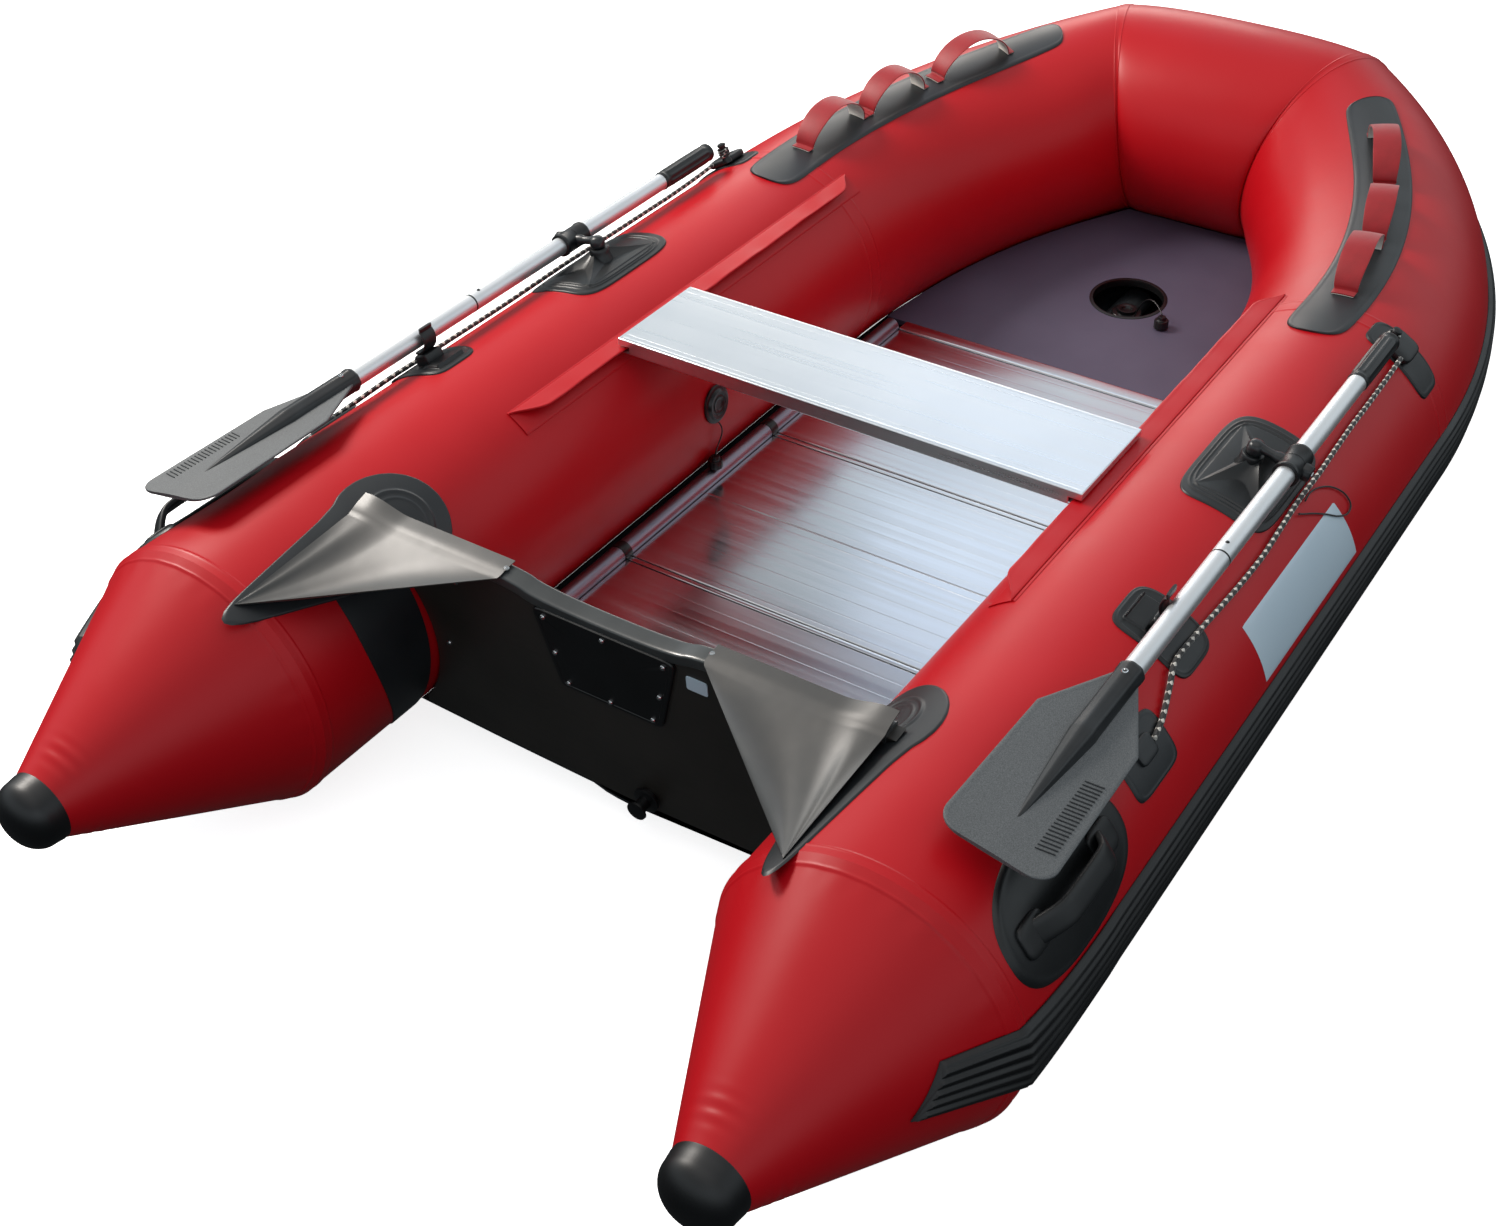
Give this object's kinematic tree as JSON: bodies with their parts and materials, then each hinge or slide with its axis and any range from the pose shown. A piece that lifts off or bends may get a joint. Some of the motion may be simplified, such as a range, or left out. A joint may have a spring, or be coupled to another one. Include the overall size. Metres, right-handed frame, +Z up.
{
  "type": "inflatable boat",
  "caption": "Inflatable sport boat with a V bottom, conical tube ends, aluminium floor, motor transom, sliding bench seat and stowed oars on swinging rowlocks.",
  "frame": {"origin": "on the ground under the middle of the boat, at the bottom centre of its box", "axes": "+X runs forward to the bow, +Y to port, +Z up"},
  "size_m": [2.955, 1.5278, 0.5076],
  "materials": {
    "red_pvc": "satin coated fabric",
    "red_webbing": "woven webbing",
    "black_rubber": "ribbed extrusion",
    "grey_pvc": "satin coated fabric",
    "charcoal_pvc": "satin coated fabric",
    "sealed_plywood": "satin black paint",
    "black_plastic": "moulded",
    "ribbed_aluminium": "ribbed extrusion",
    "aluminium_tube": "drawn tube",
    "seat_aluminium": "pale brushed",
    "shaft_aluminium": "anodised tube",
    "blade_plastic": "textured moulding",
    "bow_board_plastic": "matt",
    "pin_plastic": "moulded",
    "flecked_rope": "braided, flecked black and white",
    "lanyard_cord": "thin braided cord",
    "steel_ring": "polished wire",
    "label_film": "printed film, left blank",
    "moulded_rubber": "moulded"
  },
  "bodies": {
    "hull": {"port_side_tube": "red_pvc", "starboard_side_tube": "red_pvc", "port_bow_tube": "red_pvc", "starboard_bow_tube": "red_pvc", "front_bow_tube": "red_pvc", "port_stern_cone": "red_pvc", "starboard_stern_cone": "red_pvc", "cone_caps": "black_rubber", "hull_bottom": "grey_pvc", "air_keel": "grey_pvc", "transom": "sealed_plywood", "transom_trim": "black_plastic", "motor_plates": "black_plastic", "drain_valve": "black_plastic", "aft_floor_panel": "ribbed_aluminium", "middle_floor_panel": "ribbed_aluminium", "fore_floor_panel": "ribbed_aluminium", "floor_connector": "ribbed_aluminium", "bow_board": "bow_board_plastic", "floor_stringers": "aluminium_tube", "seat_rails": "red_pvc", "corner_patches": "charcoal_pvc", "transom_webs": "charcoal_pvc", "port_rowlock_base": "moulded_rubber", "starboard_rowlock_base": "moulded_rubber", "oar_clips": "moulded_rubber", "grip_holders": "moulded_rubber", "port_carry_patch": "charcoal_pvc", "starboard_carry_patch": "charcoal_pvc", "port_carry_straps": "red_webbing", "starboard_carry_straps": "red_webbing", "stern_handles": "moulded_rubber", "port_rub_strake": "black_rubber", "starboard_rub_strake": "black_rubber", "bow_rub_strake": "black_rubber", "side_valves": "black_plastic", "side_valve_caps": "black_plastic", "side_valve_lanyards": "lanyard_cord", "keel_valve": "black_plastic", "keel_valve_cap": "black_plastic", "keel_valve_lanyard": "lanyard_cord", "port_grab_line": "flecked_rope", "starboard_grab_line": "flecked_rope", "rowlock_lanyard": "lanyard_cord", "line_patches": "charcoal_pvc", "tow_rings": "steel_ring", "side_labels": "label_film"},
    "port_oar": {"port_rowlock_pin": "pin_plastic", "port_oar_collar": "moulded_rubber", "port_oar_shaft": "shaft_aluminium", "port_oar_grip": "moulded_rubber", "port_oar_blade": "blade_plastic"},
    "starboard_oar": {"starboard_rowlock_pin": "pin_plastic", "starboard_oar_collar": "moulded_rubber", "starboard_oar_shaft": "shaft_aluminium", "starboard_oar_grip": "moulded_rubber", "starboard_oar_blade": "blade_plastic"},
    "seat": {"seat_board": "seat_aluminium"}
  },
  "joints": [
    {"name": "port_oar_swing", "type": "hinge", "parent": "hull", "child": "port_oar", "pos_m": [-0.1025, 0.58509, 0.4151], "axis": [0, -0.2147, -0.9767], "range_deg": [0, 115]},
    {"name": "starboard_oar_swing", "type": "hinge", "parent": "hull", "child": "starboard_oar", "pos_m": [-0.1025, -0.58509, 0.4151], "axis": [0, -0.2147, 0.9767], "range_deg": [0, 115]},
    {"name": "seat_slide", "type": "slide", "parent": "hull", "child": "seat", "axis": [1, 0, 0], "range_m": [-0.25, 0.53]}
  ]
}
